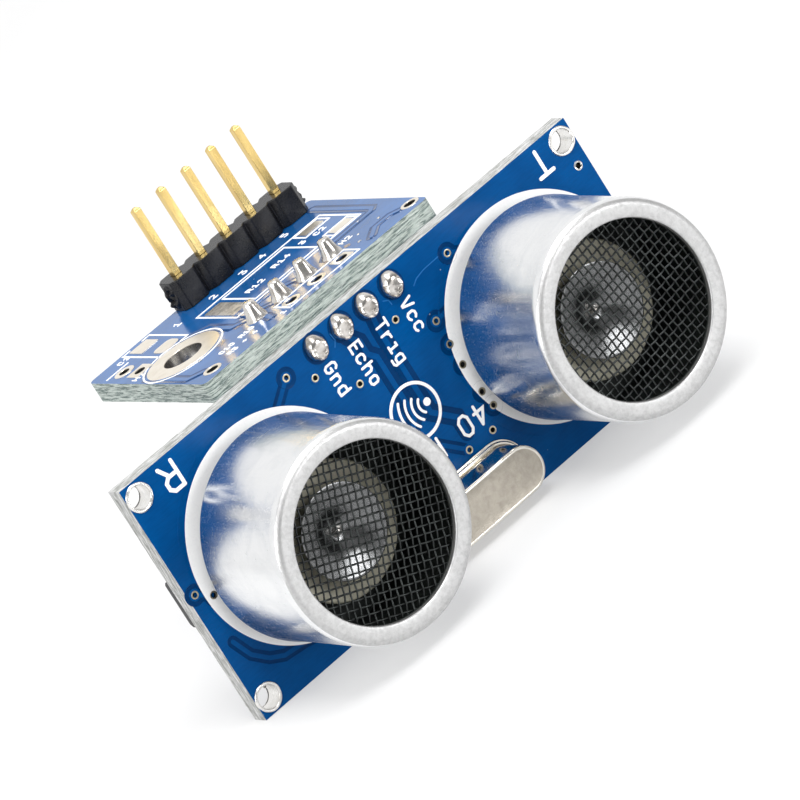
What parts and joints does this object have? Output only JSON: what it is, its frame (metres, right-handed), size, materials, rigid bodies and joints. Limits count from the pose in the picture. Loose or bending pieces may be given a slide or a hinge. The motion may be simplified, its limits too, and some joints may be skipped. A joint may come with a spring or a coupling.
{
  "type": "ultrasonic distance sensor",
  "caption": "Ultrasonic distance sensor: a front board with two round transducer cans and a crystal, and a small adapter board square behind it with an upright pin header.",
  "frame": {"origin": "centre of the four mounting holes, on the front face of the front board", "axes": "+X from the receiver can to the transmitter can, -Y the way the cans point, +Z the way the five connector pins point"},
  "size_m": [0.045, 0.0309, 0.0298],
  "materials": {
    "sensor_laminate": "glossy blue solder mask over glass-epoxy laminate",
    "adapter_laminate": "glossy blue solder mask over glass-epoxy laminate",
    "can_aluminium": "satin drawn aluminium with a matte blasted rim",
    "screen_wire": "dark woven wire",
    "base_plastic": "matt black moulding",
    "tinned_wire": "bright tinned wire",
    "silicone": "matt silicone",
    "cream_disc": "cream coated metal disc",
    "piezo_ceramic": "fired ceramic with silver face",
    "cone_aluminium": "thin drawn aluminium",
    "crystal_nickel": "nickel-plated drawn can, satin top and bright edge",
    "seal_glass": "fused glass",
    "quartz": "polished quartz with silver electrodes",
    "header_plastic": "satin black moulded nylon",
    "gold_pin": "pale gold-flashed brass",
    "solder": "bright tin solder",
    "chip_epoxy": "moulded black epoxy",
    "chip_lead": "matt tin plate",
    "resistor_body": "black glaze on white ceramic",
    "capacitor_body": "tan ceramic"
  },
  "bodies": {
    "root": {"adapter_board": "adapter_laminate", "adapter_capacitor_ends": "chip_lead", "adapter_capacitors": "capacitor_body", "adapter_resistor_ends": "chip_lead", "adapter_resistors": "resistor_body", "back_capacitor_ends": "chip_lead", "back_capacitors": "capacitor_body", "back_resistor_ends": "chip_lead", "back_resistors": "resistor_body", "controller": "chip_epoxy", "controller_leads": "chip_lead", "converter": "chip_epoxy", "converter_leads": "chip_lead", "crystal_blank": "quartz", "crystal_clips": "tinned_wire", "crystal_flange": "crystal_nickel", "crystal_pins": "tinned_wire", "crystal_seals": "seal_glass", "crystal_shell": "crystal_nickel", "crystal_solder": "solder", "link_front_solder": "solder", "link_header_body": "header_plastic", "link_header_pins": "gold_pin", "link_tail_solder": "solder", "plug_header_body": "header_plastic", "plug_header_pins": "gold_pin", "plug_header_solder": "solder", "r_base": "base_plastic", "r_can": "can_aluminium", "r_cone": "cone_aluminium", "r_damper_ring": "silicone", "r_diaphragm": "cream_disc", "r_leads": "tinned_wire", "r_piezo_disc": "piezo_ceramic", "r_pins": "tinned_wire", "r_screen": "screen_wire", "receiver_amplifier": "chip_epoxy", "receiver_amplifier_leads": "chip_lead", "sensor_board": "sensor_laminate", "t_base": "base_plastic", "t_can": "can_aluminium", "t_cone": "cone_aluminium", "t_damper_ring": "silicone", "t_diaphragm": "cream_disc", "t_leads": "tinned_wire", "t_piezo_disc": "piezo_ceramic", "t_pins": "tinned_wire", "t_screen": "screen_wire", "transducer_solder": "solder", "transistor": "chip_epoxy", "transistor_leads": "chip_lead", "transmit_driver": "chip_epoxy", "transmit_driver_leads": "chip_lead"}
  },
  "joints": []
}
